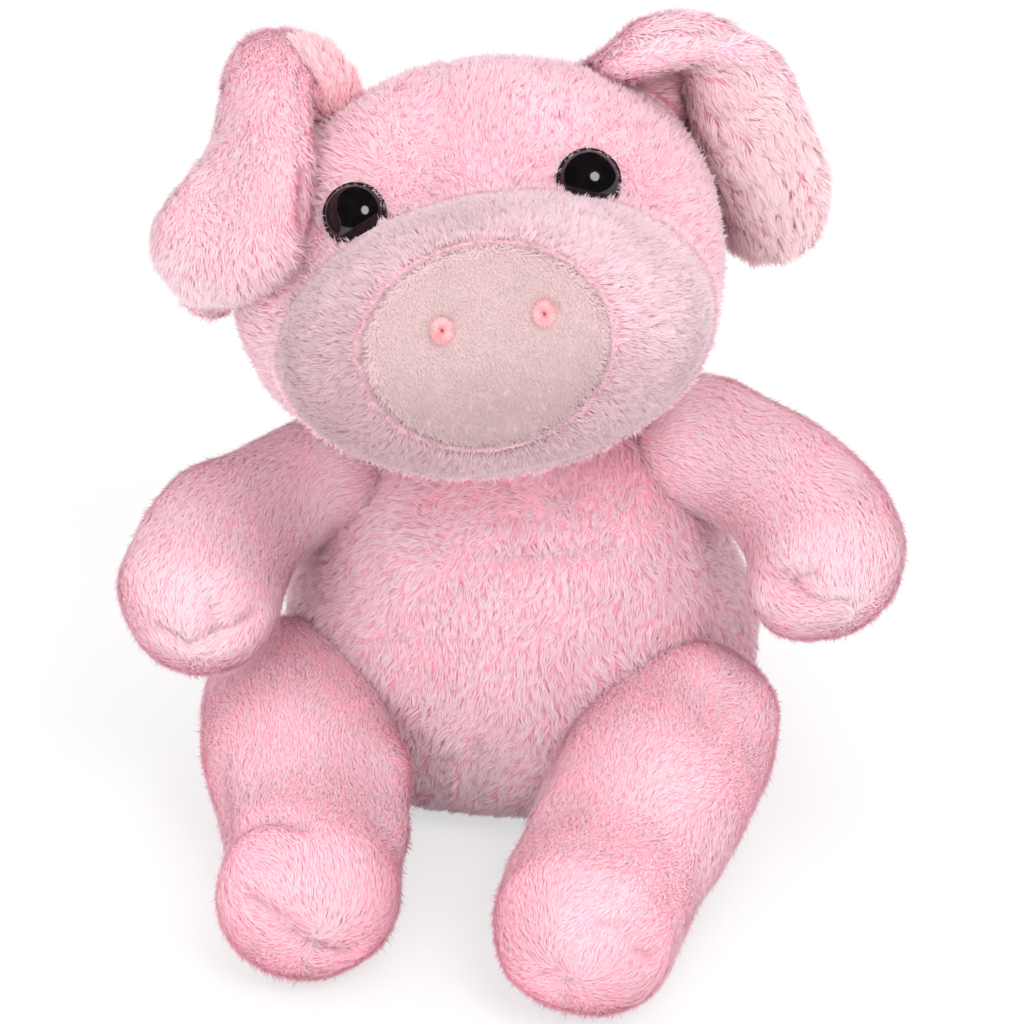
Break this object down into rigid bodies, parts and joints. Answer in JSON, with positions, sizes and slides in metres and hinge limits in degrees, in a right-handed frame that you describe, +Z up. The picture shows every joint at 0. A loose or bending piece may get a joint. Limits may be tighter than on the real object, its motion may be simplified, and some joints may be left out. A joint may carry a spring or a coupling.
{
  "type": "plush pig",
  "caption": "Seated plush pig with a stuffed body, head, arms and legs, a bulging muzzle with a flat snout pad, domed eyes, floppy ears and a curled tail.",
  "frame": {"origin": "middle of the trunk's flat underside, on the surface that the pig sits on", "axes": "+Z up, the pig faces -Y and +X is to the right as seen from in front"},
  "size_m": [0.1533, 0.1617, 0.1601],
  "materials": {
    "pink_plush": "soft plush pile with paler tips",
    "muzzle_plush": "short plush, paler and greyer than the body",
    "snout_pile": "very short cream-pink pile",
    "ear_lining": "combed plush with cream tips",
    "satin_stitch": "satin stitch in coral thread",
    "eye_black": "polished",
    "washer_plastic": "natural moulded",
    "stuffing": "loose polyester fibre",
    "pouch_cloth": "thin woven cloth",
    "thread": "sewing thread"
  },
  "bodies": {
    "trunk": {"trunk_cover": "pink_plush", "trunk_fill": "stuffing", "pellet_pouch": "pouch_cloth"},
    "neck": {"neck_thread": "thread"},
    "head": {"head_cover": "pink_plush", "muzzle_cover": "muzzle_plush", "snout_pad": "snout_pile", "head_fill": "stuffing", "eye_left": "eye_black", "eye_right": "eye_black", "eye_washer_left": "washer_plastic", "eye_washer_right": "washer_plastic", "nostril_left": "satin_stitch", "nostril_right": "satin_stitch"},
    "ear_left": {"ear_outer_left": "pink_plush", "ear_lining_left": "ear_lining"},
    "ear_right": {"ear_outer_right": "pink_plush", "ear_lining_right": "ear_lining"},
    "arm_left": {"arm_cover_left": "pink_plush", "arm_fill_left": "stuffing"},
    "arm_right": {"arm_cover_right": "pink_plush", "arm_fill_right": "stuffing"},
    "leg_left": {"leg_cover_left": "pink_plush", "leg_fill_left": "stuffing"},
    "leg_right": {"leg_cover_right": "pink_plush", "leg_fill_right": "stuffing"},
    "tail_body": {"tail": "pink_plush"}
  },
  "joints": [
    {"name": "neck_turn", "type": "hinge", "parent": "trunk", "child": "neck", "pos_m": [0.003, 0.004, 0.067], "axis": [0, 0, 1], "range_deg": [-25, 25], "stiffness_Nm_per_rad": 0.3},
    {"name": "neck_nod", "type": "hinge", "parent": "neck", "child": "head", "pos_m": [0.003, 0.004, 0.067], "axis": [-0.9866, -0.069, -0.1478], "range_deg": [-10, 12], "stiffness_Nm_per_rad": 0.45},
    {"name": "arm_left_swing", "type": "hinge", "parent": "trunk", "child": "arm_left", "pos_m": [-0.03541, 0, 0.06595], "axis": [-0.9976, 0, -0.0698], "range_deg": [-6, 35], "stiffness_Nm_per_rad": 0.05},
    {"name": "arm_right_swing", "type": "hinge", "parent": "trunk", "child": "arm_right", "pos_m": [0.03741, 0, 0.07105], "axis": [-0.9976, 0, -0.0698], "range_deg": [-6, 35], "stiffness_Nm_per_rad": 0.05},
    {"name": "leg_left_splay", "type": "hinge", "parent": "trunk", "child": "leg_left", "pos_m": [-0.04145, -0.01909, 0.0203], "axis": [0, 0, -1], "range_deg": [-6, 16], "stiffness_Nm_per_rad": 0.08},
    {"name": "leg_right_splay", "type": "hinge", "parent": "trunk", "child": "leg_right", "pos_m": [0.03241, -0.03212, 0.0203], "axis": [0, 0, 1], "range_deg": [-6, 16], "stiffness_Nm_per_rad": 0.08},
    {"name": "ear_left_flop", "type": "hinge", "parent": "head", "child": "ear_left", "pos_m": [-0.03637, 0.00304, 0.13798], "axis": [-0.697, -0.3003, -0.6511], "range_deg": [0, 24], "stiffness_Nm_per_rad": 0.01},
    {"name": "ear_right_flop", "type": "hinge", "parent": "head", "child": "ear_right", "pos_m": [0.02312, 0.00598, 0.14423], "axis": [0.8394, -0.2265, -0.4941], "range_deg": [-12, 12], "stiffness_Nm_per_rad": 0.01},
    {"name": "tail_wag", "type": "hinge", "parent": "trunk", "child": "tail_body", "pos_m": [0.0009, 0.0402, 0.03], "axis": [0, 0, 1], "range_deg": [-20, 20], "stiffness_Nm_per_rad": 0.003}
  ]
}
